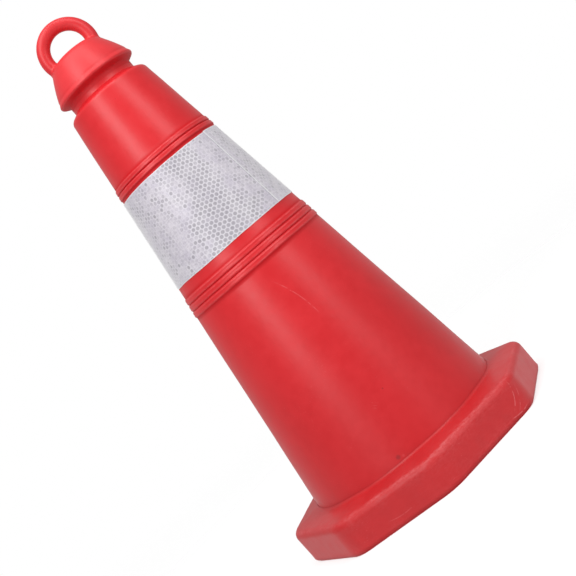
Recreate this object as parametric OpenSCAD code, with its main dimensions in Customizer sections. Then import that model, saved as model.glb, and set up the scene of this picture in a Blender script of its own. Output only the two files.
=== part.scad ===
// Ringed traffic cone with a ballasted eight-sided base, about 700 mm tall.
// Millimetres, +Z up. The origin is on the floor, under the middle of the cone.
// The cone shell is hollow and open below, so that cones stack. A capped ring closes its neck.
// The base is a hollow ring round the cone's foot: shell, ballast, bottom plate and screws,
// filled through a screw plug on its top at the back (+Y).

/* [Cone shell] */
// Outer radius that the cone's side would reach at floor level
foot_r = 142; // [130:1:150]
// Outer radius of the cone at its shoulder
shoulder_r = 57; // [54:0.2:60]
// Height of the shoulder
shoulder_z = 587; // [578:1:590]
// Wall thickness of the cone shell
cone_wall = 3; // [2:0.5:4]
// Radius of the groove under the cap
groove_r = 45.6; // [45:0.2:47]

/* [Ribs] */
// Number of ribs in the lower set
low_rib_count = 3; // [0:1:4]
// Height of the lower set's middle
low_rib_z = 332; // [310:0.5:340]
// Width of one lower rib
low_rib_w = 8.7; // [6:0.1:10]
// Number of ribs in the upper set
high_rib_count = 2; // [0:1:3]
// Height of the upper set's middle
high_rib_z = 489.4; // [488:0.2:500]
// Width of one upper rib
high_rib_w = 7.3; // [5:0.1:8]
// How far a rib stands proud of the cone
rib_proud = 1.6; // [0.5:0.1:2.5]

/* [Reflective sleeve] */
// Height of the sleeve's lower edge
sleeve_z = 358; // [346:1:358]
// Width of the reflective film
sleeve_w = 122; // [80:1:122]
// Thickness of the film
film_t = 0.5; // [0.3:0.1:0.8]
// Direction of the overlap seam, anticlockwise from +X
seam_azimuth = -43.5; // [-180:0.5:180]
// Angle that the film's end overlaps its start
seam_overlap = 9; // [4:1:15]

/* [Cap and ring] */
// Largest radius of the cap, at its rim
cap_rim_r = 55.2; // [54:0.1:57]
// Wall thickness of the cap
cap_wall = 4; // [3:0.5:5]
// Overall height, to the top of the lifting ring
total_h = 702; // [698:1:706]
// Radius of the lifting ring's centre line
ring_mid_r = 30.6; // [29:0.1:33]
// Radius of the lifting ring's round section
ring_tube_r = 8.5; // [7:0.1:9]

/* [Base] */
// Width of the base across its flats
base_flats = 340; // [332:1:350]
// Radius of the eight rounded corners in plan
corner_r = 42; // [20:1:44]
// Height of the sloping top where it meets the skirt
skirt_h = 44.5; // [42:0.1:46]
// Slope of the eight top faces, in degrees
roof_slope = 7; // [5:0.5:8]
// Wall thickness of the base shell
base_wall = 3.5; // [3:0.5:4.5]
// Thickness of the bottom plate
plate_t = 4; // [3.5:0.5:5]
// Top of the ballast
ballast_top = 34; // [20:1:36]

/* [Filler plug] */
// Distance of the plug from the cone's axis
plug_at_r = 157; // [156.5:0.5:158]
// Radius of the filler bore
filler_r = 10; // [8:0.5:10.5]
// Radius of the plug's flange
plug_flange_r = 13; // [12:0.5:13.5]
// Length of the plug's shank below the seal
plug_shank = 14; // [10:1:16]

/* [Hidden] */
$fn = 96;
gap = 0.3;            // clearance between nested pieces
over = 1;             // how far a cut runs past a face
sides = 8;
side_angle = 360 / sides;
taper = (foot_r - shoulder_r) / shoulder_z;
lean = atan(taper);   // how far the cone's side leans from upright

// Neck, groove and cap heights follow the shoulder
shoulder_round = 6.5;
ledge_angle = 62;     // surface normal of the sloping ledges beside the groove
groove_round = 3.5;
groove_floor = 6.8;   // straight run of the groove's floor between its two rounds
shoulder_mid = [cone_r(shoulder_z) - shoulder_round * cos(lean),
                shoulder_z - shoulder_round * sin(lean)];
ledge_start = shoulder_mid + shoulder_round * [cos(ledge_angle), sin(ledge_angle)];
groove_mid_r = groove_r + groove_round;
ledge_end_r = groove_mid_r - groove_round * cos(ledge_angle);
groove_z = ledge_start[1] + (ledge_start[0] - ledge_end_r) * tan(90 - ledge_angle)
           + groove_round * sin(ledge_angle);
groove_top_z = groove_z + groove_floor;
split_z = groove_z + groove_floor / 2;   // the neck ends and the cap begins here
neck_bore_r = groove_r - cone_wall + 0.4;
neck_under_z = shoulder_z + 6;

// Cap outline: underside, rim, side, shoulder and crown, each an arc
rim_round = 2.2;
side_normal = 21;     // surface normal where the cap's side leaves the rim
side_end_normal = 32.5;
crown_normal = 80;
side_round = 190;
crown_edge_round = 17;
rim_mid = [cap_rim_r - rim_round,
           groove_top_z + groove_round * sin(ledge_angle) + rim_round * sin(ledge_angle)
           + (cap_rim_r - rim_round + rim_round * cos(ledge_angle) - ledge_end_r)
             * tan(90 - ledge_angle)];
side_mid = rim_mid + (rim_round - side_round) * [cos(side_normal), sin(side_normal)];
crown_edge_mid = side_mid
                 + (side_round - crown_edge_round) * [cos(side_end_normal), sin(side_end_normal)];
crown_start = crown_edge_mid + crown_edge_round * [cos(crown_normal), sin(crown_normal)];
crown_round = crown_start[0] / cos(crown_normal);
crown_mid = [0, crown_start[1] - crown_round * sin(crown_normal)];
spigot_r = neck_bore_r - gap;
spigot_wall = 3;
spigot_end_z = neck_under_z - 12;
barb = 1.8;           // how far the spigot's snap edge stands out
ring_z = total_h - ring_mid_r - ring_tube_r;
ring_web_t = 24;      // thickness of the cap's inner web that grips the ring

// Foot of the cone and the base round it
flange_r = foot_r + 9;
flange_t = 3;
apothem = base_flats / 2;
screw_at_r = 158;
boss_r = 5;
screw_r = 1.95;
screw_head_r = 3.8;
screw_head_z = 1;     // the heads stay clear of the floor
screw_sink = plate_t - 1.2;
screw_tip_z = 20;
edge_cut = 3;         // bevel along the top edge of the skirt
ballast_gap = 1;

// Filler boss, seal and plug
filler_boss_r = plug_flange_r + 2;
filler_boss_top = skirt_h + 5;
filler_boss_low = 30;
seal_t = 1.5;
plug_flange_t = 3;
slot_w = 2.6;
slot_deep = 1.8;

function cone_r(z) = foot_r - taper * z;

// Points along an arc round mid, from angle a to angle b
function arc(mid, r, a, b, n) =
    [for (i = [0:n]) let (t = a + (b - a) * i / n) mid + r * [cos(t), sin(t)]];

// One rounded rib on the cone's side, from its lower edge to its upper edge
function rib(mid_z, w) =
    [for (i = [-4:4]) let (z = mid_z + i * w / 8) [cone_r(z) + rib_proud * (1 - pow(i / 4, 2)), z]];

// A set of touching ribs, lowest first
function ribs(mid_z, w, count) =
    [for (k = [0:1:count - 1]) each rib(mid_z + (k - (count - 1) / 2) * w, w)];

// Plan of the base: an octagon with rounded corners that point along +X, +Y and between
module octagon_plan(flat_r, round_r) {
    steps = 6;
    mid = (flat_r - round_r) / cos(side_angle / 2);
    polygon([for (k = [0:sides - 1]) for (i = [0:steps])
        let (a = side_angle * (k + i / steps - 0.5))
        mid * [cos(side_angle * k), sin(side_angle * k)] + round_r * [cos(a), sin(a)]]);
}

// Everything above a plane that crosses each flat side at height z and falls outwards
module above_roof(z, flat_r, slope) {
    for (k = [0:sides - 1])
        rotate([0, 0, side_angle * (k + 0.5)])
            translate([flat_r, 0, z])
                rotate([0, slope, 0])
                    translate([-base_flats, -base_flats, 0])
                        cube([1.5 * base_flats, 2 * base_flats, 2 * base_flats]);
}

// The base's solid outline, inset by a wall thickness on its sides and top
module base_block(inset) {
    difference() {
        linear_extrude(skirt_h + 20) octagon_plan(apothem - inset, corner_r - inset);
        above_roof(skirt_h - inset / cos(roof_slope), apothem, roof_slope);
        above_roof(skirt_h - edge_cut, apothem - inset / 2, 45);
    }
}

// A solid that follows the cone's side at a distance, between two heights
module cone_side(out, z0, z1) {
    translate([0, 0, z0]) cylinder(h = z1 - z0, r1 = cone_r(z0) + out, r2 = cone_r(z1) + out);
}

module at_screws() {
    for (k = [0:sides - 1])
        rotate([0, 0, side_angle * (k + 0.5)]) translate([screw_at_r, 0, 0]) children();
}

module at_filler() {
    translate([0, plug_at_r, 0]) children();
}

module cone_body() {
    outer = concat(
        [[flange_r, plate_t], [flange_r, plate_t + flange_t],
         [cone_r(plate_t + flange_t), plate_t + flange_t]],
        ribs(low_rib_z, low_rib_w, low_rib_count),
        ribs(high_rib_z, high_rib_w, high_rib_count),
        arc(shoulder_mid, shoulder_round, lean, ledge_angle, 6),
        arc([groove_mid_r, groove_z], groove_round, 180 + ledge_angle, 180, 6),
        [[groove_r, split_z]]);
    inner = [[neck_bore_r, split_z], [neck_bore_r, neck_under_z],
             [neck_bore_r + barb + 1, neck_under_z],
             [cone_r(shoulder_z) - 2 * cone_wall, neck_under_z - 5],
             [cone_r(shoulder_z - 8) - cone_wall, shoulder_z - 8],
             [cone_r(plate_t) - cone_wall, plate_t]];
    color("red") rotate_extrude() polygon(concat(outer, inner));
}

module reflective_sleeve() {
    // Glued film, a hair off the cone; its end laps over its start
    film_gap = 0.1;
    module layer(out, angle) {
        rotate_extrude(angle = angle)
            polygon([[cone_r(sleeve_z) + out, sleeve_z],
                     [cone_r(sleeve_z) + out + film_t, sleeve_z],
                     [cone_r(sleeve_z + sleeve_w) + out + film_t, sleeve_z + sleeve_w],
                     [cone_r(sleeve_z + sleeve_w) + out, sleeve_z + sleeve_w]]);
    }
    color("lightgray") {
        layer(film_gap, 360);
        rotate([0, 0, seam_azimuth]) layer(film_gap + film_t / 2, seam_overlap);
    }
}

module ring_cap() {
    outer = concat(
        [[spigot_r, split_z], [groove_r, split_z]],
        arc([groove_mid_r, groove_top_z], groove_round, 180, 180 - ledge_angle, 6),
        arc(rim_mid, rim_round, -ledge_angle, side_normal, 6),
        arc(side_mid, side_round, side_normal, side_end_normal, 4),
        arc(crown_edge_mid, crown_edge_round, side_end_normal, crown_normal, 6),
        arc(crown_mid, crown_round, crown_normal, 90, 4));
    // The moulding is hollow and closed: the hollow runs from the spigot's floor to the crown
    hollow = concat(
        [[0, spigot_end_z + spigot_wall], [spigot_r - spigot_wall, spigot_end_z + spigot_wall],
         [spigot_r - spigot_wall, split_z + cap_wall],
         [cap_rim_r - 2 * cap_wall, rim_mid[1] + rim_round]],
        arc(crown_edge_mid, crown_edge_round - cap_wall, side_end_normal, crown_normal, 4),
        arc(crown_mid, crown_round - cap_wall, crown_normal, 90, 3));
    web = concat(
        [[0, rim_mid[1]], [cap_rim_r - 2 * cap_wall, rim_mid[1]]],
        arc(crown_edge_mid, crown_edge_round - 1, side_end_normal, crown_normal, 4),
        [[0, crown_start[1] - 1]]);
    spigot = [[0, spigot_end_z], [spigot_r - 0.5, spigot_end_z],
              [spigot_r + barb, neck_under_z - 4], [spigot_r + barb, neck_under_z - gap],
              [spigot_r, neck_under_z - gap]];
    color("tomato") difference() {
        rotate_extrude() polygon(concat(spigot, outer));
        difference() {
            rotate_extrude() polygon(hollow);
            intersection() {
                rotate_extrude() polygon(web);
                translate([-cap_rim_r, -ring_web_t / 2, rim_mid[1]])
                    cube([2 * cap_rim_r, ring_web_t, total_h]);
            }
        }
        ring();
    }
}

module ring() {
    translate([0, 0, ring_z]) rotate([90, 0, 0])
        rotate_extrude() translate([ring_mid_r, 0]) circle(r = ring_tube_r);
}

module lifting_ring() {
    color("tomato") ring();
}

module base_shell() {
    color("firebrick") difference() {
        union() {
            difference() {
                base_block(0);
                difference() {
                    translate([0, 0, -over]) base_block(base_wall);
                    cone_side(gap + base_wall, 0, skirt_h + 20);
                    at_screws() translate([0, 0, plate_t]) cylinder(h = skirt_h, r = boss_r);
                    at_filler() translate([0, 0, filler_boss_low])
                        cylinder(h = skirt_h, r = filler_r + base_wall);
                }
            }
            at_filler() translate([0, 0, skirt_h - 1])
                cylinder(h = filler_boss_top - skirt_h + 1, r = filler_boss_r);
        }
        cone_side(gap, -over, skirt_h + 20);
        translate([0, 0, -over])
            cylinder(h = plate_t + flange_t + gap + over, r = flange_r + gap);
        at_filler() cylinder(h = 2 * skirt_h, r = filler_r);
        at_screws() cylinder(h = screw_tip_z + 4, r = screw_r + 0.05);
    }
}

module base_plate() {
    color("dimgray") difference() {
        linear_extrude(plate_t)
            octagon_plan(apothem - base_wall - gap, corner_r - base_wall - gap);
        translate([0, 0, -over])
            cylinder(h = plate_t + 2 * over, r = cone_r(plate_t) - cone_wall);
        at_screws() translate([0, 0, -over]) {
            cylinder(h = plate_t + 2 * over, r = screw_r + gap);
            cylinder(h = screw_sink + over, r = screw_head_r + gap);
        }
    }
}

module ballast() {
    low = plate_t + ballast_gap;
    color("gray") difference() {
        translate([0, 0, low]) linear_extrude(ballast_top - low)
            octagon_plan(apothem - base_wall - ballast_gap, corner_r - base_wall - ballast_gap);
        cone_side(gap + base_wall + ballast_gap, 0, skirt_h);
        cylinder(h = low + flange_t + ballast_gap, r = flange_r + base_wall);
        at_screws() cylinder(h = skirt_h, r = boss_r + ballast_gap);
        at_filler() translate([0, 0, filler_boss_low - 8])
            cylinder(h = skirt_h, r = filler_r + base_wall + ballast_gap);
    }
}

module base_screws() {
    cross_w = 0.9;
    cross_l = 4.4;
    color("silver") at_screws() difference() {
        union() {
            translate([0, 0, screw_head_z])
                cylinder(h = screw_sink - screw_head_z, r = screw_head_r);
            translate([0, 0, screw_head_z]) cylinder(h = screw_tip_z - screw_head_z, r = screw_r);
        }
        for (turn = [0, 90])
            rotate([0, 0, turn]) translate([-cross_l / 2, -cross_w / 2, 0])
                cube([cross_l, cross_w, screw_head_z + 0.9]);
    }
}

module plug_seal() {
    color("black") at_filler() translate([0, 0, filler_boss_top]) difference() {
        cylinder(h = seal_t, r = plug_flange_r - 0.5);
        translate([0, 0, -over]) cylinder(h = seal_t + 2 * over, r = filler_r);
    }
}

module filler_plug() {
    flange_z = filler_boss_top + seal_t;
    color("dimgray") at_filler() difference() {
        union() {
            translate([0, 0, flange_z]) cylinder(h = plug_flange_t, r = plug_flange_r);
            translate([0, 0, filler_boss_top - plug_shank])
                cylinder(h = plug_shank + seal_t + over, r = filler_r - gap);
        }
        translate([-plug_flange_r + 3, -slot_w / 2, flange_z + plug_flange_t - slot_deep])
            cube([2 * plug_flange_r - 6, slot_w, slot_deep + over]);
    }
}

cone_body();
reflective_sleeve();
ring_cap();
lifting_ring();
base_shell();
base_plate();
ballast();
base_screws();
plug_seal();
filler_plug();
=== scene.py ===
"""Looks for the ringed traffic cone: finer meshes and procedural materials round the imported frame.

Metres, +Z up, in the CAD's own frame. Heights and widths come from the frame's boxes; the few
named sizes below are those that a box can't tell.
"""
import math

import bmesh
import bpy
import numpy as np
from mathutils import Matrix, Vector, noise


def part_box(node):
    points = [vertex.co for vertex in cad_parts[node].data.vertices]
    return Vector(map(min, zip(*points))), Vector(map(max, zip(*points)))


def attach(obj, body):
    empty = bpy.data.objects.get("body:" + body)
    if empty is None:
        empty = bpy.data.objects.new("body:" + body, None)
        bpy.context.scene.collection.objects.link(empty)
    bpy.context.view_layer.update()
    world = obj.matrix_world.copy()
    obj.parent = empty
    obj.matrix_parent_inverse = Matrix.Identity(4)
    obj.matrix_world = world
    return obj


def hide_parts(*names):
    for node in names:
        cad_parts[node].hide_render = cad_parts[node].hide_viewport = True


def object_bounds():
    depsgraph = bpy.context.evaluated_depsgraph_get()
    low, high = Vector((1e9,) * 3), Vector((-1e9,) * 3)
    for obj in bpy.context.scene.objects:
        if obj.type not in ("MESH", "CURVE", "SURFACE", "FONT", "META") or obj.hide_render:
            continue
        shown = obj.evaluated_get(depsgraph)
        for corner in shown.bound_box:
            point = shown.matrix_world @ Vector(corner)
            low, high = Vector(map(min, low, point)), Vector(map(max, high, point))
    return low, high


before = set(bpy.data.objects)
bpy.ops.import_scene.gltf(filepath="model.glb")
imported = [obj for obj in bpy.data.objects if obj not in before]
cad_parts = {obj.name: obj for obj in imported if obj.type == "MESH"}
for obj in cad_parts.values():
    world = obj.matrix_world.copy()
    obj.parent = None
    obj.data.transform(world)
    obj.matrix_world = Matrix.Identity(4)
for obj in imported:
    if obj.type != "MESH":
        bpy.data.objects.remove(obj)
cad_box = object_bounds()

# ---------------------------------------------------------------- sizes

MM = 0.001
GAP = 0.3 * MM               # clearance between nested pieces
CONE_WALL = 3 * MM
FOOT_R = 142 * MM            # radius that the cone's side would reach at floor level
SHOULDER_R = 57 * MM
SHOULDER_Z = 587 * MM
TAPER = (FOOT_R - SHOULDER_R) / SHOULDER_Z
LEAN = math.atan(TAPER)
GROOVE_R = 45.6 * MM
GROOVE_ROUND = 3.5 * MM
GROOVE_FLOOR = 6.8 * MM      # straight run of the groove's floor
SHOULDER_ROUND = 6.5 * MM
LEDGE = math.radians(62)     # surface normal of the ledges beside the groove
RIM_ROUND = 2.2 * MM

RIB_PROUD = 1.6 * MM
LOW_RIBS = (332 * MM, 8.7 * MM, 3)     # middle height, width of one rib, how many
HIGH_RIBS = (489.4 * MM, 7.3 * MM, 2)

body_low, body_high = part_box("cone_body")
film_low, film_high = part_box("reflective_sleeve")
cap_low, cap_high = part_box("ring_cap")
ring_low, ring_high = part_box("lifting_ring")
base_low, base_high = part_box("base_shell")
seal_low, seal_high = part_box("plug_seal")
plug_low, plug_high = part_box("filler_plug")

PLATE_T = body_low.z
SPLIT_Z = body_high.z
FLANGE_R = body_high.x
FLANGE_T = 3 * MM
RING_TUBE_R = (ring_high.y - ring_low.y) / 2
RING_MID_R = (ring_high.x - ring_low.x) / 2 - RING_TUBE_R
RING_Z = (ring_high.z + ring_low.z) / 2
CAP_RIM_R = (cap_high.x - cap_low.x) / 2

SIDES = 8
SIDE = 2 * math.pi / SIDES
CORNER_R = 42 * MM
APOTHEM = (base_high.x - CORNER_R) * math.cos(SIDE / 2) + CORNER_R
SKIRT_H = 44.5 * MM
ROOF_SLOPE = math.radians(7)
BASE_WALL = 3.5 * MM
TOP_EDGE_ROUND = 9.5 * MM
LOW_EDGE_ROUND = 6.5 * MM

PLUG_X = (plug_high.x + plug_low.x) / 2
PLUG_Y = (plug_high.y + plug_low.y) / 2
PLUG_FLANGE_R = (plug_high.x - plug_low.x) / 2
BOSS_TOP = seal_low.z
FILLER_R = 10 * MM
THREAD_PITCH = 4 * MM


def cone_r(z):
    """Outer radius of the cone's straight side at a height."""
    return FOOT_R - TAPER * z


# ---------------------------------------------------------------- outlines

def arc(mid, radius, start, end, count):
    """Points (r, z) along an arc, angles in radians."""
    turns = np.linspace(start, end, count + 1)
    return [(mid[0] + radius * math.cos(t), mid[1] + radius * math.sin(t)) for t in turns]


def filled_in(points, step):
    """The same outline with extra points, so that none are further apart than step."""
    out = [points[0]]
    for a, b in zip(points, points[1:]):
        n = max(1, math.ceil(math.dist(a, b) / step))
        out += [(a[0] + (b[0] - a[0]) * i / n, a[1] + (b[1] - a[1]) * i / n)
                for i in range(1, n + 1)]
    return out


def ribs(mid_z, width, count):
    """Outline of a set of touching rounded ribs, lowest first."""
    out = []
    for k in range(count):
        z0 = mid_z + (k - (count - 1) / 2) * width
        for t in np.linspace(-1, 1, 21):
            z = z0 + t * width / 2
            crest = 1 - abs(t) ** 3 - 0.20 * math.exp(-(t / 0.32) ** 2)
            out.append((cone_r(z) + RIB_PROUD * crest, z))
    return out


def in_rib_groove(z):
    """1 in the narrow grooves beside the ribs, 0 away from them."""
    deepest = 0.0
    for mid_z, width, count in (LOW_RIBS, HIGH_RIBS):
        for k in range(count + 1):
            off = abs(z - mid_z - (k - count / 2) * width)
            deepest = max(deepest, 1 - off / (1.7 * MM))
    return deepest


def on_rib_crest(z):
    """1 along the two raised lines of each rib, where it rubs and where pale lines are painted as
    highlights, 0 away from them.
    """
    most = 0.0
    for mid_z, width, count in (LOW_RIBS, HIGH_RIBS):
        for k in range(count):
            t = abs(z - mid_z - (k - (count - 1) / 2) * width) / (width / 2)
            most = max(most, math.exp(-((t - 0.5) / 0.13) ** 2))
    return most


def cone_outline():
    """Closed outline of the cone shell: flange, side, ribs, shoulder, groove, neck, then inside."""
    mid = (cone_r(SHOULDER_Z) - SHOULDER_ROUND * math.cos(LEAN),
           SHOULDER_Z - SHOULDER_ROUND * math.sin(LEAN))
    groove_z = SPLIT_Z - GROOVE_FLOOR / 2
    groove_mid = (GROOVE_R + GROOVE_ROUND, groove_z)
    bore = GROOVE_R - CONE_WALL + 0.4 * MM
    under = SHOULDER_Z + 6 * MM
    outside = [(FLANGE_R, PLATE_T), (FLANGE_R, PLATE_T + FLANGE_T),
               (cone_r(PLATE_T + FLANGE_T), PLATE_T + FLANGE_T)]
    outside += ribs(*LOW_RIBS) + ribs(*HIGH_RIBS)
    outside += arc(mid, SHOULDER_ROUND, LEAN, LEDGE, 12)
    outside += arc(groove_mid, GROOVE_ROUND, math.pi + LEDGE, math.pi, 12)
    outside += [(GROOVE_R, SPLIT_Z)]
    inside = [(bore, SPLIT_Z), (bore, under), (bore + 2.8 * MM, under),
              (cone_r(SHOULDER_Z) - 2 * CONE_WALL, under - 5 * MM),
              (cone_r(SHOULDER_Z - 8 * MM) - CONE_WALL, SHOULDER_Z - 8 * MM),
              (cone_r(PLATE_T) - CONE_WALL, PLATE_T)]
    return filled_in(outside, 5 * MM) + filled_in(inside, 14 * MM)


def cap_rim():
    """Middle (r, z) of the rim's rounding."""
    ledge_end_r = GROOVE_R + GROOVE_ROUND * (1 - math.cos(LEDGE))
    ledge_end_z = SPLIT_Z + GROOVE_FLOOR / 2 + GROOVE_ROUND * math.sin(LEDGE)
    rim_r = CAP_RIM_R - RIM_ROUND
    rise = (rim_r + RIM_ROUND * math.cos(LEDGE) - ledge_end_r) / math.tan(LEDGE)
    return rim_r, ledge_end_z + RIM_ROUND * math.sin(LEDGE) + rise


def cap_side():
    """Outline of the cap that shows, from the neck to the crown."""
    side_round, edge_round = 190 * MM, 17 * MM
    side_start, side_end, crown = (math.radians(a) for a in (21, 32.5, 80))
    groove_z = SPLIT_Z + GROOVE_FLOOR / 2
    rim_r, rim_z = cap_rim()
    side_mid = (rim_r - (side_round - RIM_ROUND) * math.cos(side_start),
                rim_z - (side_round - RIM_ROUND) * math.sin(side_start))
    edge_mid = (side_mid[0] + (side_round - edge_round) * math.cos(side_end),
                side_mid[1] + (side_round - edge_round) * math.sin(side_end))
    crown_start = (edge_mid[0] + edge_round * math.cos(crown),
                   edge_mid[1] + edge_round * math.sin(crown))
    crown_round = crown_start[0] / math.cos(crown)
    crown_mid = (0, crown_start[1] - crown_round * math.sin(crown))
    return (arc((GROOVE_R + GROOVE_ROUND, groove_z), GROOVE_ROUND, math.pi, math.pi - LEDGE, 10)
            + arc((rim_r, rim_z), RIM_ROUND, -LEDGE, side_start, 12)
            + arc(side_mid, side_round, side_start, side_end, 14)
            + arc(edge_mid, edge_round, side_end, crown, 16)
            + arc(crown_mid, crown_round, crown, math.pi / 2, 10))


def cap_outline():
    """Whole outline of the cap: spigot floor, snap edge, underside, rim and crown."""
    spigot_r = GROOVE_R - CONE_WALL + 0.1 * MM
    under = SHOULDER_Z + 6 * MM
    spigot = [(0, cap_low.z), (spigot_r - 1.5 * MM, cap_low.z),
              (spigot_r - 0.5 * MM, cap_low.z + 1 * MM),
              (spigot_r + 1.8 * MM, under - 4 * MM), (spigot_r + 1.8 * MM, under - GAP),
              (spigot_r, under - GAP), (spigot_r, SPLIT_Z), (GROOVE_R, SPLIT_Z)]
    return filled_in(spigot + cap_side(), 1 * MM)


# ---------------------------------------------------------------- meshes

def add_object(name, data):
    """A new object in the scene that holds a mesh, lamp or camera."""
    obj = bpy.data.objects.new(name, data)
    bpy.context.scene.collection.objects.link(obj)
    return obj


def make_mesh(name, verts, faces, smooth_angle=None, attributes=None):
    """A new object from points and faces, smooth shaded, its faces turned outwards.

    Edges sharper than smooth_angle degrees stay sharp. Each attribute has one number per point.
    """
    mesh = bpy.data.meshes.new(name)
    mesh.from_pydata([tuple(v) for v in verts], [], faces)
    for key, values in (attributes or {}).items():
        layer = mesh.attributes.new(key, "FLOAT", "POINT")
        layer.data.foreach_set("value", np.array(values, np.float32))
    obj = add_object(name, mesh)
    tidy_normals(obj)
    mesh.shade_smooth()
    if smooth_angle is not None:
        mesh.set_sharp_from_angle(angle=math.radians(smooth_angle))
    return obj


def tidy_normals(obj):
    """Joins points that coincide and turns all faces outwards."""
    bm = bmesh.new()
    bm.from_mesh(obj.data)
    bmesh.ops.remove_doubles(bm, verts=bm.verts, dist=1e-6)
    bmesh.ops.recalc_face_normals(bm, faces=bm.faces)
    bm.to_mesh(obj.data)
    bm.free()


def grid_faces(rows, cols, wrap_rows=False, wrap_cols=True, first=0):
    """Quads between rows of points; a wrapped direction joins its last row or column to its first."""
    faces = []
    for i in range(rows if wrap_rows else rows - 1):
        for j in range(cols if wrap_cols else cols - 1):
            a = first + i * cols + j
            b = first + i * cols + (j + 1) % cols
            c = first + ((i + 1) % rows) * cols + (j + 1) % cols
            d = first + ((i + 1) % rows) * cols + j
            faces.append((a, b, c, d))
    return faces


def soft_noise(point, wavelength, seed=0.0):
    """Smooth noise from about -1 to 1 whose bumps are about one wavelength across."""
    p = Vector(point) / wavelength
    return noise.noise(p + Vector((seed, 3.7 * seed, -1.9 * seed)))


def revolve(name, outline, segments, closed, wobble=None, smooth_angle=None, marked=None):
    """A surface of revolution about Z. wobble(r, z, angle) gives small offsets (dr, dz).

    marked holds functions of (r, z) that fill the attributes the materials read: "hollow" is 1
    deep in a groove, where the material paints shade, and "wear" is 1 where the surface rubs and where a
    pale line is painted as a highlight.
    """
    verts = []
    attributes = {key: np.repeat([value(r, z) for r, z in outline], segments)
                  for key, value in (marked or {}).items()}
    for r, z in outline:
        for k in range(segments):
            a = 2 * math.pi * k / segments
            dr, dz = wobble(r, z, a) if wobble else (0, 0)
            rr = r + dr if r > 1e-6 else 0
            verts.append((rr * math.cos(a), rr * math.sin(a), z + dz))
    faces = grid_faces(len(outline), segments, wrap_rows=closed)
    return make_mesh(name, verts, faces, smooth_angle, attributes)


def cone_hollow(r, z):
    """The grooves beside the ribs and the neck groove's floor lie in shade."""
    if r < cone_r(z) - 8 * MM and z < SHOULDER_Z:
        return 0.0
    neck = 0.0
    if r < GROOVE_R + 3 * MM:
        neck = 0.35 * min(1, max(0, (z - SPLIT_Z + GROOVE_FLOOR / 2) / (3 * MM)))
    return max(0.0, 0.85 * in_rib_groove(z), neck)


def cone_wear_and_highlight(r, z):
    """The rib crests are rubbed pale, partly as painted highlight lines; the inside is not."""
    return 0.0 if r < cone_r(z) - 1 * MM else on_rib_crest(z)


def cap_hollow(r, z):
    """The groove and the rim's underside lie in shade; the rim's rounded edge does not."""
    if r <= GROOVE_R - 1 * MM:
        return 0.0
    rim_low = cap_rim()[1] - RIM_ROUND * 0.7
    return 0.6 * max(0.0, min(1.0, (rim_low - z) / (1.2 * MM)))


def moulding_wobble(r, z, a):
    """The slight unevenness of a thin moulding: long dents in the wall, and ribs that waver."""
    if r < cone_r(z) - 1 * MM or z < 60 * MM or z > SHOULDER_Z - 12 * MM:
        return 0, 0
    spot = (r * math.cos(a), r * math.sin(a), z)
    dr = 0.35 * MM * soft_noise(spot, 0.11) + 0.12 * MM * soft_noise(spot, 0.035, 5)
    dz = 0
    for mid_z, width, count in (LOW_RIBS, HIGH_RIBS):
        reach = count * width / 2
        if abs(z - mid_z) < reach + 1 * MM:
            dz = 0.45 * MM * soft_noise((spot[0], spot[1], 0), 0.05, mid_z * 90)
            dr += 0.2 * MM * soft_noise(spot, 0.03, 9)
    return dr, dz


def cap_wobble(r, z, a):
    """The rim's soft bead and the dome's slight unevenness."""
    if z < SPLIT_Z + GROOVE_FLOOR:
        return 0, 0
    spot = (r * math.cos(a), r * math.sin(a), z)
    # A shallow hollow above the rim leaves the rim standing as a soft bead
    hollow = 0.55 * MM * math.exp(-((z - cap_rim()[1] - 4.6 * MM) / (1.9 * MM)) ** 2)
    return -hollow - abs(0.3 * MM * soft_noise(spot, 0.05, 2)), 0


def torus(name, mid_r, tube_r, z, around, across):
    """The lifting ring, upright in the XZ plane."""
    verts = []
    for i in range(around):
        a = 2 * math.pi * i / around
        for j in range(across):
            b = 2 * math.pi * j / across
            r = tube_r + 0.15 * MM * (soft_noise((math.cos(a), math.sin(a), math.cos(b)), 0.8, 4) - 1)
            out = mid_r + r * math.cos(b)
            verts.append((out * math.cos(a), r * math.sin(b), z + out * math.sin(a)))
    faces = grid_faces(around, across, wrap_rows=True)
    return make_mesh(name, verts, faces)


# Base: every ring of points runs round the same octagon, so that rings join one to one

CORNER_STEPS = 12
FLAT_STEPS = 14


def base_ring_frame():
    """For each point round the base: the spot its corner arc turns about, and its outward normal."""
    spots = []
    corner_mid = (APOTHEM - CORNER_R) / math.cos(SIDE / 2)
    for k in range(SIDES):
        here = corner_mid * np.array([math.cos(SIDE * k), math.sin(SIDE * k)])
        after = corner_mid * np.array([math.cos(SIDE * (k + 1)), math.sin(SIDE * (k + 1))])
        for i in range(CORNER_STEPS):
            a = SIDE * (k - 0.5 + i / CORNER_STEPS)
            spots.append((here, np.array([math.cos(a), math.sin(a)])))
        a = SIDE * (k + 0.5)
        normal = np.array([math.cos(a), math.sin(a)])
        for i in range(FLAT_STEPS):
            spots.append((here + (after - here) * i / FLAT_STEPS, normal))
    return spots


def roof_z(x, y):
    """Height of the eight sloping faces, with softly rounded creases between them."""
    soft = 0.5 * MM
    planes = [SKIRT_H + (APOTHEM - x * math.cos(SIDE * (k + 0.5)) - y * math.sin(SIDE * (k + 0.5)))
              * math.tan(ROOF_SLOPE) for k in range(SIDES)]
    least = min(planes)
    return least - soft * math.log(sum(math.exp((least - p) / soft) for p in planes))


def push_in(point):
    """How far a point of the base's outside is pushed in: long dents and small ones."""
    push = 0.45 * MM * (soft_noise(point, 0.05, 7) - 0.75)
    push += 0.12 * MM * (soft_noise(point, 0.014, 8) - 0.75)
    return min(push, 0)


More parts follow.
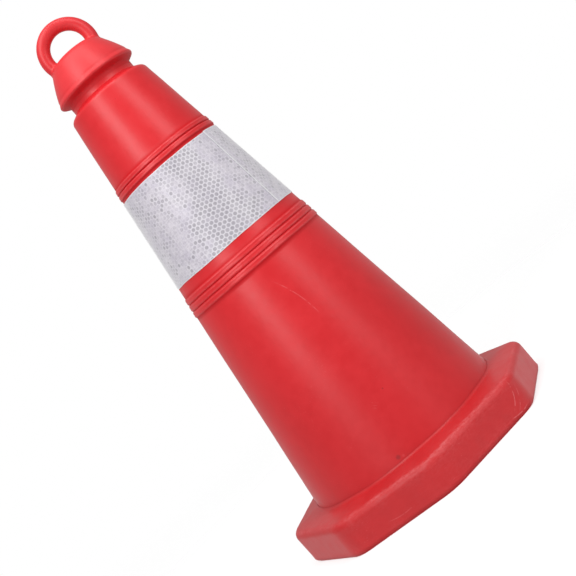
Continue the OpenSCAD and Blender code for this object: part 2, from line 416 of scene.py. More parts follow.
def base_shell():
    """The base's closed shell: lip on the cone, sloping top, rounded edge, skirt and hidden inside."""
    spots = base_ring_frame()
    rings, wear_and_highlight, hollow = [], [], []

    def octagon(inset):
        return [mid + (CORNER_R - inset) * normal for mid, normal in spots]

    def circle(radius):
        return [radius * p / np.linalg.norm(p) for p in octagon(0)]

    def add(plan, heights, wear_and_highlight_level=0.0, shaded=0.0):
        rings.append([(p[0], p[1], z) for p, z in zip(plan, heights)])
        wear_and_highlight.append(wear_and_highlight_level)
        hollow.append(shaded)

    def level(z):
        return [z] * len(spots)

    # Up the inside of the collar, over a thin lip, and down a hollow curve onto the top
    collar_z = PLATE_T + FLANGE_T + GAP
    junction_z = SKIRT_H + (APOTHEM - FOOT_R) * math.tan(ROOF_SLOPE)
    lip, lip_t, gap = 3.5 * MM, 0.12 * MM, 0.1 * MM
    for z in np.linspace(collar_z, junction_z + lip, 8):
        add(circle(cone_r(z) + gap), level(z))
    top_r = cone_r(junction_z + lip) + gap + lip_t
    foot_r = cone_r(junction_z) + gap + lip_t + lip
    inner_edge = circle(foot_r)
    inner_z = [roof_z(*p) for p in inner_edge]
    steps = 10
    for i in range(steps + 1):
        t = i / steps
        a = math.pi * (1 + t / 2)
        r = foot_r + (foot_r - top_r) * math.cos(a)
        drop = 1 + math.sin(a)
        # Painted shade: a little darkening at the lip's top where it meets the cone, fading out down the
        # curve
        add(circle(r), [z + lip * drop for z in inner_z], 0.1 * t, 0.1 * (1 - t))
    # Across the sloping top
    outside_start = len(rings)
    tangent = TOP_EDGE_ROUND * (1 - math.sin(ROOF_SLOPE))
    outer_edge = octagon(tangent)
    steps = 12
    for i in range(1, steps + 1):
        t = i / steps
        plan = [a + (b - a) * t for a, b in zip(inner_edge, outer_edge)]
        add(plan, [roof_z(*p) for p in plan], 0.1 + 0.2 * t ** 2)
    # Round the top edge, down the skirt and round the bottom edge
    edge_z = [roof_z(*p) for p in outer_edge]
    full = math.pi / 2 - ROOF_SLOPE
    steps = 12
    for i in range(1, steps + 1):
        a = full * (1 - i / steps)
        plan = octagon(TOP_EDGE_ROUND * (1 - math.cos(a)))
        lift = TOP_EDGE_ROUND * (math.sin(a) - math.cos(ROOF_SLOPE))
        # A narrow pale line along the middle of the rounded edge: partly rubbed plastic, partly a painted
        # highlight
        edge_wear_and_highlight = math.sin(math.pi * min(1, 1.5 * i / steps)) ** 3
        add(plan, [z + lift for z in edge_z], 0.25 + 0.75 * edge_wear_and_highlight)
    skirt_start = len(rings)
    skirt_top = [z - TOP_EDGE_ROUND * math.cos(ROOF_SLOPE) for z in edge_z]
    steps = 8
    for i in range(1, steps + 1):
        t = i / steps
        edge_wear_and_highlight = 0.2 * (1 - t) ** 2 + 0.25 * t ** 3
        add(octagon(0), [z + (LOW_EDGE_ROUND - z) * t for z in skirt_top], edge_wear_and_highlight)
    outside_end = len(rings)
    # Painted shade: the rounded bottom edge darkens towards the floor
    steps = 6
    for i in range(1, steps + 1):
        a = math.pi / 2 * i / steps
        add(octagon(LOW_EDGE_ROUND * (1 - math.cos(a))), level(LOW_EDGE_ROUND * (1 - math.sin(a))),
            0.2, min(1, i / 4))
    # Inside, out of sight above the bottom plate
    add(octagon(BASE_WALL), level(0))
    add(octagon(BASE_WALL), level(SKIRT_H - 2 * BASE_WALL))
    inside = octagon(2 * BASE_WALL)
    add(inside, [roof_z(*p) - 1.1 * BASE_WALL for p in inside])
    inside = circle(cone_r(junction_z) + GAP + 2 * BASE_WALL)
    add(inside, [roof_z(*p) - 1.1 * BASE_WALL for p in inside])
    add(circle(cone_r(junction_z) + GAP + BASE_WALL), level(junction_z - 2 * BASE_WALL))
    add(circle(cone_r(collar_z) + GAP + BASE_WALL), level(collar_z))

    verts, wear_and_highlight_level, shaded = [], [], []
    for n, ring in enumerate(rings):
        for (x, y, z), (mid, normal) in zip(ring, spots):
            if outside_start <= n < outside_end:
                push = push_in((x, y, z))
                x, y = x + push * normal[0], y + push * normal[1]
                if n < skirt_start:
                    z += 0.6 * push
            verts.append((x, y, z))
            wear_and_highlight_level.append(wear_and_highlight[n])
            shaded.append(hollow[n])
    faces = grid_faces(len(rings), len(spots), wrap_rows=True)
    return make_mesh("base_shell_skin", verts, faces, 60, {"wear_and_highlight": wear_and_highlight_level, "hollow": shaded})


def cut(obj, cutter):
    """Cuts one mesh out of another, and removes the cutter."""
    change = obj.modifiers.new("cut", "BOOLEAN")
    change.operation = "DIFFERENCE"
    change.solver = "EXACT"
    change.object = cutter
    bpy.context.view_layer.update()
    deps = bpy.context.evaluated_depsgraph_get()
    mesh = bpy.data.meshes.new_from_object(obj.evaluated_get(deps))
    obj.modifiers.clear()
    obj.data = mesh
    bpy.data.objects.remove(cutter)


def shifted(obj, x, y):
    """Moves a mesh made round the Z axis to another upright axis."""
    obj.data.transform(Matrix.Translation((x, y, 0)))
    return obj


def filler_boss():
    """Raised ring round the filler bore, flaring into the base's top."""
    top_r = PLUG_FLANGE_R + 2 * MM
    low = BOSS_TOP - 6 * MM
    outline = [(FILLER_R, BOSS_TOP - 18 * MM), (FILLER_R, BOSS_TOP - 0.5 * MM),
               (FILLER_R + 0.5 * MM, BOSS_TOP)]
    outline += arc((top_r - 1 * MM, BOSS_TOP - 1 * MM), 1 * MM, math.pi / 2, 0, 6)
    outline += arc((top_r + 3 * MM, BOSS_TOP - 2 * MM), 3 * MM, math.pi, 1.5 * math.pi, 8)
    outline += [(top_r + 3 * MM, low), (top_r - 2 * MM, BOSS_TOP - 18 * MM)]
    return shifted(revolve("filler_boss", outline, 72, closed=True, smooth_angle=40), PLUG_X, PLUG_Y)


def plug_seal():
    """Flat rubber ring with rounded edges."""
    r0, r1 = FILLER_R + 0.05 * MM, (seal_high.x - seal_low.x) / 2
    z0, z1 = seal_low.z, seal_high.z
    e = 0.4 * MM
    outline = (arc((r1 - e, z0 + e), e, -math.pi / 2, 0, 4) + arc((r1 - e, z1 - e), e, 0, math.pi / 2, 4)
               + arc((r0 + e, z1 - e), e, math.pi / 2, math.pi, 4)
               + arc((r0 + e, z0 + e), e, math.pi, 1.5 * math.pi, 4))
    return shifted(revolve("plug_seal_ring", outline, 96, closed=True, smooth_angle=50), PLUG_X, PLUG_Y)


def filler_plug():
    """Screw plug: grip flange with scallops, coin slot, and a threaded shank."""
    flange_low = seal_high.z
    core = FILLER_R - 1.0 * MM
    crest = FILLER_R - GAP
    segments = 144
    rows = []
    for z in np.linspace(plug_low.z + 0.6 * MM, flange_low, 61):
        row = []
        for k in range(segments):
            a = 2 * math.pi * k / segments
            phase = ((z - plug_low.z) / THREAD_PITCH - k / segments) % 1
            tooth = max(0.0, min(1.0, 2.2 - abs(phase - 0.5) * 6))
            if z > flange_low - 4 * MM:
                tooth *= max(0.0, (flange_low - z) / (4 * MM) * 2 - 1)
            r = core + (crest - core) * tooth
            row.append((r * math.cos(a), r * math.sin(a), z))
        rows.append(row)
    e = 0.7 * MM
    edge = [(core + 1 * MM, flange_low), (PLUG_FLANGE_R - e, flange_low)]
    edge += arc((PLUG_FLANGE_R - e, flange_low + e), e, -math.pi / 2, 0, 4)
    edge += arc((PLUG_FLANGE_R - e, plug_high.z - e), e, 0, math.pi / 2, 5)
    sunk_z = plug_high.z - 0.4 * MM
    edge += [(PLUG_FLANGE_R - 2.5 * MM, plug_high.z - 0.1 * MM), (PLUG_FLANGE_R - 3 * MM, sunk_z),
             (PLUG_FLANGE_R * 0.4, sunk_z), (0.3 * MM, sunk_z)]
    for r, z in edge:
        row = []
        for k in range(segments):
            a = 2 * math.pi * k / segments
            on_edge = r > PLUG_FLANGE_R - 1.2 * MM
            scallop = 0.5 * MM * (0.5 - 0.5 * math.cos(18 * a)) * on_edge
            row.append(((r - scallop) * math.cos(a), (r - scallop) * math.sin(a), z))
        rows.append(row)
    verts = [(0, 0, plug_low.z)] + [v for row in rows for v in row] + [(0, 0, rows[-1][0][2])]
    faces = grid_faces(len(rows), segments, first=1)
    last = 1 + (len(rows) - 1) * segments
    for k in range(segments):
        nxt = (k + 1) % segments
        faces.append((0, 1 + nxt, 1 + k))
        faces.append((last + k, last + nxt, len(verts) - 1))
    plug = make_mesh("filler_plug_body", verts, faces, smooth_angle=35)
    slot = bevelled_box("slot_cutter", (2 * PLUG_FLANGE_R - 6 * MM, 2.6 * MM, 4 * MM), 0.4 * MM)
    slot.data.transform(Matrix.Translation((0, 0, plug_high.z + 0.2 * MM)))
    cut(plug, slot)
    plug.data.set_sharp_from_angle(angle=math.radians(35))
    return shifted(plug, PLUG_X, PLUG_Y)


def bevelled_box(name, size, bevel):
    """A box round the origin with rounded edges."""
    bm = bmesh.new()
    bmesh.ops.create_cube(bm, size=1)
    for v in bm.verts:
        v.co = Vector(c * s for c, s in zip(v.co, size))
    bmesh.ops.bevel(bm, geom=bm.edges[:], offset=bevel, segments=3, affect="EDGES")
    mesh = bpy.data.meshes.new(name)
    bm.to_mesh(mesh)
    bm.free()
    return add_object(name, mesh)


# Reflective film: one strip wound round the cone, its free end lying on its start

FILM_T = 0.5 * MM
SEAM = math.radians(-43.5)
OVERLAP = math.radians(9)


def film_sleeve():
    """The strip as a thin closed sheet, with wavy cut edges and finer rows and columns beside them."""
    z_low, z_high = film_low.z, film_high.z
    turn = 2 * math.pi + OVERLAP
    rim = [0, 0.012, 0.03]
    heights = rim + list(np.linspace(0.06, 0.94, 27)) + [1 - t for t in reversed(rim)]
    sweeps = [math.radians(a) for a in (0, 0.8, 1.6, 2.2)] + list(np.linspace(math.radians(3), turn, 300))
    rows, width = len(heights), len(sweeps)
    mid_r = cone_r((z_low + z_high) / 2)
    outer, inner, flat, edge = [], [], [], []
    for t in heights:
        for s in sweeps:
            a = SEAM + s
            spot = (math.cos(a), math.sin(a), s * 0.05)
            ragged_low = 1.2 * MM * soft_noise(spot, 0.8, 11) + 0.5 * MM * soft_noise(spot, 0.25, 12)
            ragged_high = 0.5 * MM * soft_noise(spot, 0.8, 13) + 0.3 * MM * soft_noise(spot, 0.25, 14)
            low = z_low + 1.2 * MM + ragged_low
            high = z_high - 1.6 * MM + ragged_high + 0.9 * MM * max(0, 1 - s / math.pi)
            z = low + (high - low) * t
            on_top = 1 - min(1, max(0, (s - OVERLAP) / math.radians(3)))
            on_top = on_top * on_top * (3 - 2 * on_top)
            lift = 0.1 * MM + on_top * (FILM_T + 0.15 * MM)
            lift += 0.10 * MM * (1 + soft_noise((spot[0] * 0.1, spot[1] * 0.1, z), 0.02, 15))
            base = cone_r(z)
            # The free end lifts a little from the strip below it
            lift += 0.25 * MM * math.exp(-s / math.radians(0.8)) * (1 + soft_noise((z, 0, 0), 0.02, 16))
            for points, out in ((outer, base + lift + FILM_T), (inner, base + lift)):
                points.append((out * math.cos(a), out * math.sin(a), z))
            flat.append((s * mid_r, z - z_low))
            edge.append(float(max(t in (0, 1), s < math.radians(1))))
    count = rows * width
    faces = grid_faces(rows, width, wrap_cols=False)
    faces += [tuple(count + v for v in reversed(f)) for f in faces]
    border = list(range(width - 1)) + [i * width + width - 1 for i in range(rows - 1)]
    border += [(rows - 1) * width + j for j in range(width - 1, 0, -1)]
    border += [i * width for i in range(rows - 1, 0, -1)]
    for a, b in zip(border, border[1:] + border[:1]):
        faces.append((b, a, count + a, count + b))
    film = make_mesh("reflective_film", outer + inner, faces, 40, {"cut_edge": edge + edge})
    layer = film.data.uv_layers.new(name="film_metres")
    flat = flat + flat
    for loop in film.data.loops:
        layer.data[loop.index].uv = flat[loop.vertex_index]
    return film


def ring_foot(name, side):
    """The small hollow curve where one leg of the lifting ring meets the cap's dome."""
    outline = [p for p in cap_side() if p[1] > cap_high.z - 40 * MM][::-1]
    radii = [p[0] for p in outline]
    heights = [p[1] for p in outline]

    def dome(x, y):
        return float(np.interp(math.hypot(x, y), radii, heights))

    def on_ring(phi, beta):
        out = RING_MID_R + RING_TUBE_R * math.cos(beta)
        return Vector((side * out * math.cos(phi), RING_TUBE_R * math.sin(beta),
                       RING_Z + out * math.sin(phi)))

    width = 3.2 * MM
    around, across = 72, 8
    verts = []
    for j in range(around):
        beta = 2 * math.pi * j / around
        # Halve the interval until it holds the angle at which the ring's surface meets the dome
        high, low = 0.3, -1.1
        for _ in range(40):
            mid = (high + low) / 2
            p = on_ring(mid, beta)
            if p.z > dome(p.x, p.y):
                high = mid
            else:
                low = mid
        corner = on_ring(high, beta)
        centre = Vector((side * RING_MID_R * math.cos(high), 0, 0))
        away = Vector((corner.x, corner.y, 0)) - centre
        away.normalize()
        start = on_ring(high + width / (RING_MID_R + RING_TUBE_R * math.cos(beta)), beta)
        end = Vector((corner.x, corner.y, 0)) + away * width
        end.z = dome(end.x, end.y)
        sunk = corner - away * 1.2 * MM - Vector((0, 0, 0.8 * MM))
        for i in range(across + 1):
            t = i / across
            verts.append(start * (1 - t) ** 2 + corner * 2 * t * (1 - t) + end * t * t)
        verts.append(sunk)
    faces = grid_faces(around, across + 2, wrap_rows=True)
    return make_mesh(name, verts, faces, smooth_angle=70)


# ---------------------------------------------------------------- materials

class Recipe:
    """A material's node tree, built by short calls that take numbers or other nodes' outputs."""

    def __init__(self, name):
        self.material = bpy.data.materials.new(name)
        self.material.use_nodes = True
        self.tree = self.material.node_tree
        self.tree.nodes.clear()

    def put(self, node, key, value):
        if isinstance(value, bpy.types.NodeSocket):
            self.tree.links.new(value, node.inputs[key])
        else:
            node.inputs[key].default_value = value

    def node(self, kind, inputs=None, **settings):
        made = self.tree.nodes.new(kind)
        for key, value in settings.items():
            setattr(made, key, value)
        for key, value in (inputs or {}).items():
            self.put(made, key, value)
        return made

    def math(self, operation, a, b=0.0, c=0.0, clamp=False):
        made = self.node("ShaderNodeMath", operation=operation, use_clamp=clamp)
        for key, value in enumerate((a, b, c)):
            self.put(made, key, value)
        return made.outputs[0]

    def vector(self, operation, a, b=(0, 0, 0), out=0):
        made = self.node("ShaderNodeVectorMath", operation=operation)
        self.put(made, 0, a)
        self.put(made, 1, b)
        return made.outputs[out]

    def noise(self, where, scale, detail=2.0, rough=0.5):
        return self.node("ShaderNodeTexNoise", {"Vector": where, "Scale": scale, "Detail": detail,
                                                "Roughness": rough}).outputs["Fac"]

    def step(self, value, low, high, to_low=0.0, to_high=1.0):
        """Smooth change from to_low to to_high as value goes from low to high."""
        return self.node("ShaderNodeMapRange", {0: value, 1: low, 2: high, 3: to_low, 4: to_high},
                         interpolation_type="SMOOTHSTEP").outputs[0]

    def blend(self, amount, a, b, mode="MIX"):
        made = self.node("ShaderNodeMix", data_type="RGBA", blend_type=mode)
        for key, value in ((0, amount), (6, a), (7, b)):
            self.put(made, key, value)
        return made.outputs[2]

    def object_place(self):
        return self.node("ShaderNodeTexCoord").outputs["Object"]

    def stretched(self, where, turn, scale):
        return self.node("ShaderNodeMapping", {"Vector": where, "Rotation": turn, "Scale": scale}).outputs[0]

    def bump(self, height, distance, strength=1.0, normal=None):
        inputs = {"Height": height, "Distance": distance, "Strength": strength}
        if normal is not None:
            inputs["Normal"] = normal
        return self.node("ShaderNodeBump", inputs).outputs[0]

    def finish(self, inputs):
        shader = self.node("ShaderNodeBsdfPrincipled", inputs)
        output = self.node("ShaderNodeOutputMaterial")
        self.tree.links.new(shader.outputs[0], output.inputs[0])
        return self.material


def rgb(r, g, b):
    """Linear colour from eight-bit sRGB numbers."""
    def linear(c):
        c /= 255
        return c / 12.92 if c <= 0.04045 else ((c + 0.055) / 1.055) ** 2.4
    return (linear(r), linear(g), linear(b), 1)


def moulded_plastic(name, colour, deep, pale, rough, scratch=0.5, dust=0.0, marks=(),
                    foot_shade=0.0, grain=1.0, shine=0.5):
    """Moulded polyethylene: mottled colour, fine grain, orange peel, scratches and rubbed edges. Painted
    shade darkens the marked hollows and the foot; the pale rubbed lines are partly rubbing, partly painted
    highlight.

    A mark is (centre, radius, half width, reach, strength): the trace on the surface of a thin
    spherical shell, which draws an arc, or a spot when the radius is 0. A minus strength is dark.
    """
    m = Recipe(name)
    place = m.object_place()
    broad = m.noise(place, 9, 3)
    mottle = m.noise(place, 70, 4, 0.6)
    cloud = m.math("ADD", m.math("MULTIPLY", broad, 0.6), m.math("MULTIPLY", mottle, 0.4))
    base = m.blend(m.step(cloud, 0.36, 0.64), deep, colour)
    # Painted shade: the colour darkens towards the foot of the piece, where the base shades it
    if foot_shade:
        height = m.node("ShaderNodeSeparateXYZ", {0: place}).outputs[2]
        low = m.step(height, 0.05, 0.34, foot_shade, 0)
        base = m.blend(low, base, tuple(c * 0.55 for c in deep[:3]) + (1,))
    # Painted shade: where the mesh marks a hollow (rib grooves, neck groove, the rim's underside, the base's
    # lip and bottom edge) the colour turns a deep dark red
    hollow = m.node("ShaderNodeAttribute", attribute_name="hollow").outputs["Fac"]
    shade = (0.72 * deep[0], 0.15 * deep[1], 0.3 * deep[2], 1)
    base = m.blend(m.math("MULTIPLY", hollow, 0.8), base, shade)

    # Long fine scratches in two directions, only in some patches
    patches = m.step(m.noise(place, 22, 2), 0.52, 0.66)
    lines = 0.0
    for turn, scale in (((0.5, 0.3, 0.9), (26, 800, 800)), ((-0.7, 0.9, -0.4), (900, 34, 900))):
        line = m.step(m.noise(m.stretched(place, turn, scale), 1, 1), 0.70, 0.76)
        lines = m.math("MAXIMUM", line, lines)
    scratched = m.math("MULTIPLY", lines, m.math("MULTIPLY", patches, scratch))

    # Single arcs and spots at given places
    ragged = m.noise(place, 260, 2)
    for centre, radius, half_width, reach, strength in marks:
        distance = m.vector("DISTANCE", place, centre, out=1)
        off = m.math("ABSOLUTE", m.math("SUBTRACT", distance, radius))
        trace = m.step(off, 0.3 * half_width, half_width, 1, 0)
        if radius:
            spot, extent = reach
            near = m.step(m.vector("DISTANCE", place, spot, out=1), 0.55 * extent, extent, 1, 0)
            trace = m.math("MULTIPLY", trace, m.math("MULTIPLY", near, m.step(ragged, 0.35, 0.55)))
        if strength > 0:
            scratched = m.math("MAXIMUM", scratched, m.math("MULTIPLY", trace, strength))
        else:
            base = m.blend(m.math("MULTIPLY", trace, -strength), base, rgb(96, 20, 26))

    # Paler plastic where the mesh marks it: partly rubbed plastic, partly painted highlight lines on the rib
    # crests and along the base's top edge
    wear_and_highlight_level = m.node("ShaderNodeAttribute", attribute_name="wear_and_highlight").outputs["Fac"]
    fine_rub = m.step(m.noise(m.stretched(place, (0, 0, 0), (1, 1, 2.2)), 210, 5, 0.75), 0.34, 0.66)
    rub_patches = m.step(m.noise(place, 16, 2), 0.38, 0.62, 0.25, 1)
    rub_and_highlight = m.math("MULTIPLY", wear_and_highlight_level, m.math("MULTIPLY", fine_rub, rub_patches))
    grime = m.math("MULTIPLY", m.step(m.noise(place, 30, 5, 0.65), 0.50, 0.72), dust)
    specks = m.step(m.noise(place, 520, 1), 0.76, 0.82, 0, 0.3)

    shown = m.blend(m.math("MULTIPLY", rub_and_highlight, 0.40), base, pale)
    shown = m.blend(m.math("MULTIPLY", scratched, 0.5), shown, pale)
    shown = m.blend(grime, shown, rgb(120, 92, 88))
    shown = m.blend(specks, shown, rgb(120, 30, 34))

    gloss = m.math("ADD", m.step(mottle, 0.3, 0.7, rough - 0.02, rough + 0.03),
                   m.math("MULTIPLY", m.math("ADD", rub_and_highlight, m.math("ADD", scratched, hollow)), 0.15))
    peel = m.bump(m.noise(place, 150, 2), 0.22 * MM, 0.5)
    fine = m.bump(m.noise(place, 1700, 2), 0.04 * MM, 0.6 * grain, peel)
    nicks = m.bump(m.math("MULTIPLY", scratched, -1), 0.06 * MM, 1.0, fine)
    return m.finish({"Base Color": shown, "Roughness": gloss, "Normal": nicks,
                     "IOR": 1.5, "Specular IOR Level": m.step(hollow, 0, 1, shine, 0.3 * shine)})


def film_material():
    """Prismatic film: honeycomb cells with pale walls and grey dots, clearer in some directions, where a
    view-dependent reflection is painted.
    """
    pitch = 5.5 * MM
    root3 = math.sqrt(3)
    m = Recipe("reflective_film")
    place = m.object_place()
    flat = m.node("ShaderNodeUVMap", uv_map="film_metres").outputs[0]
    cells = m.node("ShaderNodeMapping", {"Vector": flat, "Rotation": (0, 0, math.radians(20)),
                                         "Scale": (1 / pitch, 1 / pitch, 1),
                                         "Location": (60, 60, 0)}).outputs[0]
    tile, half = (1, root3, 1), (0.5, root3 / 2, 0)
    near_a = m.vector("SUBTRACT", m.vector("MODULO", cells, tile), half)
    near_b = m.vector("SUBTRACT", m.vector("MODULO", m.vector("SUBTRACT", cells, half), tile), half)
    reach_a = m.vector("LENGTH", near_a, out=1)
    reach_b = m.vector("LENGTH", near_b, out=1)
    pick = m.math("GREATER_THAN", reach_a, reach_b)
    from_mid = m.node("ShaderNodeMix", data_type="VECTOR")
    for key, value in ((0, pick), (4, near_a), (5, near_b)):
        m.put(from_mid, key, value)
    from_mid = from_mid.outputs[1]
    folded = m.vector("ABSOLUTE", from_mid)
    slant = m.vector("DOT_PRODUCT", folded, (0.5, root3 / 2, 0), out=1)
    upright = m.vector("DOT_PRODUCT", folded, (1, 0, 0), out=1)
    to_wall = m.math("MAXIMUM", slant, upright)
    which = m.vector("SUBTRACT", cells, from_mid)
    luck = m.node("ShaderNodeTexWhiteNoise", {"Vector": which}, noise_dimensions="3D").outputs["Value"]
    crumbs = m.noise(flat, 900, 2)

    # Painted reflection: the cells show most, as greyer dots, where the film faces certain ways, fixed on
    # the film, and in drifting patches
    xyz = m.node("ShaderNodeSeparateXYZ", {0: place})
    azimuth = m.math("ARCTAN2", xyz.outputs[1], xyz.outputs[0])
    wave = m.math("COSINE", m.math("MULTIPLY", m.math("ADD", azimuth, math.radians(85)), 3))
    drift = m.noise(place, 30, 3)
    drifted = m.math("MULTIPLY", m.math("SUBTRACT", drift, 0.5), 2.4)
    painted_reflection = m.step(m.math("ADD", wave, drifted), 0.25, 0.95)
    patch = m.step(drift, 0.40, 0.62)

    dot = m.math("MULTIPLY", m.step(m.vector("LENGTH", from_mid, out=1), 0.28, 0.46, 1, 0),
                 m.step(crumbs, 0.34, 0.60, 0.45, 1.0))
    rare = m.step(luck, 0.86, 0.99)
    scattered = m.math("MULTIPLY", m.step(patch, 0, 1, 0.45, 1), m.math("MULTIPLY", luck, 0.60))
    showing = m.math("ADD", m.math("MULTIPLY", painted_reflection, 0.47),
                     m.math("ADD", m.math("MULTIPLY", rare, 0.38), scattered))
    showing = m.math("MINIMUM", showing, 0.62)
    uneven = m.math("MULTIPLY", showing, m.step(luck, 0, 1, 0.70, 1.0))
    dark = m.math("MULTIPLY", dot, uneven, clamp=True)
    wall = m.math("MULTIPLY", m.step(to_wall, 0.38, 0.46), m.step(showing, 0.0, 0.6, 0.15, 0.8))

    broad = m.noise(place, 52, 4, 0.7)
    speckle = m.noise(flat, 480, 3, 0.7)
    pale = m.blend(m.step(broad, 0.36, 0.64), rgb(197, 190, 204), rgb(217, 211, 220))
    streaks = m.noise(m.stretched(flat, (0, 0, 0), (640, 70, 1)), 1, 3, 0.7)
    rows = m.noise(m.stretched(flat, (0, 0, math.radians(20)), (60, 560, 1)), 1, 3, 0.7)
    crossing = m.math("ADD", m.step(streaks, 0.44, 0.70), m.step(rows, 0.46, 0.72))
    crossed = m.math("MULTIPLY", crossing, m.step(painted_reflection, 0, 1, 0.40, 0.20))
    shown = m.blend(crossed, pale, rgb(158, 150, 163))
    shown = m.blend(m.math("MULTIPLY", m.step(crumbs, 0.45, 0.62), 0.28), shown, rgb(236, 234, 238))
    shown = m.blend(m.math("MULTIPLY", m.step(speckle, 0.52, 0.68), 0.35), shown, rgb(160, 152, 164))
    # Painted reflection: the film is greyer where the cells show most
    shown = m.blend(m.math("MULTIPLY", painted_reflection, 0.45), shown, rgb(184, 180, 187))
    shown = m.blend(dark, shown, rgb(116, 112, 119))
    shown = m.blend(m.math("MULTIPLY", wall, 0.7), shown, rgb(228, 226, 230))
    edge = m.node("ShaderNodeAttribute", attribute_name="cut_edge").outputs["Fac"]
    shown = m.blend(m.math("MULTIPLY", edge, 0.85), shown, rgb(238, 238, 240))
    height = m.math("SUBTRACT", wall, m.math("MULTIPLY", dot, 0.3))
    embossed = m.bump(height, 0.08 * MM, 0.6)
    wavy = m.bump(m.noise(place, 90, 3), 0.3 * MM, 0.4, embossed)
    return m.finish({"Base Color": shown, "Roughness": m.step(luck, 0, 1, 0.36, 0.50), "Normal": wavy,
                     "Coat Weight": 0.2, "Coat Roughness": 0.4, "IOR": 1.5,
                     "Sheen Weight": 1.0, "Sheen Roughness": 0.45})


def rubber_material(name, colour, rough):
    """Matt rubber with a paler bloom."""
    m = Recipe(name)
    place = m.object_place()
    cloud = m.noise(place, 120, 4)
    bloom = tuple(min(1, c * 2.2 + 0.01) for c in colour[:3]) + (1,)
    shown = m.blend(m.step(cloud, 0.35, 0.7), colour, bloom)
    return m.finish({"Base Color": shown, "Roughness": m.step(cloud, 0.3, 0.7, rough - 0.08, rough + 0.08),
                     "Normal": m.bump(m.noise(place, 1500, 2), 0.05 * MM, 0.8)})


def steel_material():
    """Zinc-plated steel, lightly brushed."""
    m = Recipe("zinc_steel")
    place = m.object_place()
    brushed = m.noise(m.stretched(place, (0, 0, 0.4), (300, 4000, 300)), 1, 2)
    shown = m.blend(m.step(brushed, 0.3, 0.7), rgb(150, 152, 156), rgb(196, 198, 200))
    return m.finish({"Base Color": shown, "Metallic": 1.0,
                     "Roughness": m.step(brushed, 0.3, 0.7, 0.28, 0.45)})


def rough_fill_material():
    """Bound sand and rubber crumb."""
    m = Recipe("ballast_fill")
    place = m.object_place()
    grains = m.node("ShaderNodeTexVoronoi", {"Vector": place, "Scale": 420.0})
    shown = m.blend(m.noise(place, 300, 4), rgb(74, 66, 58), rgb(128, 118, 104))
    return m.finish({"Base Color": shown, "Roughness": m.step(grains.outputs[0], 0, 0.6, 0.75, 0.95),
                     "Normal": m.bump(grains.outputs[0], 0.8 * MM, 0.8)})


def floor_material():
    """Pale matte floor that fades into the backdrop with distance from the cone."""
    m = Recipe("pale_floor")
    place = m.object_place()
    shown = m.blend(m.noise(place, 3, 3), (0.80, 0.80, 0.80, 1), (0.84, 0.84, 0.84, 1))
    distance = m.vector("LENGTH", place, out=1)
    return m.finish({"Base Color": shown, "Roughness": 0.9, "Specular IOR Level": 0.1,
                     "Emission Color": (1, 1, 1, 1), "Emission Strength": 0.42,
                     "Alpha": m.step(distance, 0.15, 1.6, 0.55, 0.0)})


def dress(obj, material):
    """Gives a piece its one material."""
    obj.data.materials.clear()
    obj.data.materials.append(material)


def place_piece(obj, material, body, slot, *nodes):
    """Dresses a piece and says which body it rides and the CAD nodes that it replaces; slot is not used."""
    dress(obj, material)
    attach(obj, body)
    if nodes:
        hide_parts(*nodes)


# ---------------------------------------------------------------- stage

DIM_SIDE, BRIGHT_SIDE = 0.26, 0.53     # world light behind the camera and behind the cone


def build_world():
    """White behind the cone, while the light that it casts grows from the camera's side to the back."""
    bpy.context.scene.view_settings.view_transform = "Standard"
    world = bpy.data.worlds.new("white_sweep")
    bpy.context.scene.world = world
    world.use_nodes = True
    tree = world.node_tree
    tree.nodes.clear()
    seen, cast = (tree.nodes.new("ShaderNodeBackground") for _ in range(2))
    seen.inputs["Strength"].default_value = 1.0
    for shade in (seen, cast):
        shade.inputs["Color"].default_value = (1, 1, 1, 1)
    place = tree.nodes.new("ShaderNodeTexCoord")
    parts = tree.nodes.new("ShaderNodeSeparateXYZ")
    ramp = tree.nodes.new("ShaderNodeMapRange")
    tree.links.new(place.outputs["Generated"], parts.inputs[0])
    tree.links.new(parts.outputs["Y"], ramp.inputs["Value"])
    for key, value in (("From Min", -1.0), ("From Max", 1.0), ("To Min", DIM_SIDE),
                       ("To Max", BRIGHT_SIDE)):
        ramp.inputs[key].default_value = value
    tree.links.new(ramp.outputs[0], cast.inputs["Strength"])
    path = tree.nodes.new("ShaderNodeLightPath")
    mixed = tree.nodes.new("ShaderNodeMixShader")
    output = tree.nodes.new("ShaderNodeOutputWorld")
    tree.links.new(path.outputs["Is Camera Ray"], mixed.inputs[0])
    tree.links.new(cast.outputs[0], mixed.inputs[1])
    tree.links.new(seen.outputs[0], mixed.inputs[2])
    tree.links.new(mixed.outputs[0], output.inputs[0])


def build_floor():
    """A disc just under the base, with enough points for its fading edge."""
    mesh = bpy.data.meshes.new("floor")
    reach, rings, spokes = 2.4, 12, 48
    verts = [(0, 0, 0)]
    for i in range(1, rings + 1):
        for k in range(spokes):
            a = 2 * math.pi * k / spokes
            r = reach * i / rings
            verts.append((r * math.cos(a), r * math.sin(a), 0))
    faces = [(0, 1 + k, 1 + (k + 1) % spokes) for k in range(spokes)]
    faces += grid_faces(rings, spokes, first=1)
    mesh.from_pydata(verts, [], faces)
    floor = add_object("floor", mesh)
    floor.location.z = cad_box[0].z - 0.1 * MM
    dress(floor, floor_material())


def softbox(name, azimuth, distance, height, size, power):
    """A rectangular lamp that faces the cone; azimuth 0 is the camera's side."""
    data = bpy.data.lights.new(name, "AREA")
    data.shape = "RECTANGLE"
    data.size, data.size_y = size
    data.energy = power
    lamp = add_object(name, data)
    a = math.radians(azimuth)
    lamp.location = (distance * math.sin(a), -distance * math.cos(a), height)
    aim = Vector((0, 0, cad_box[1].z * 0.5)) - lamp.location
    lamp.rotation_euler = aim.to_track_quat("-Z", "Y").to_euler()


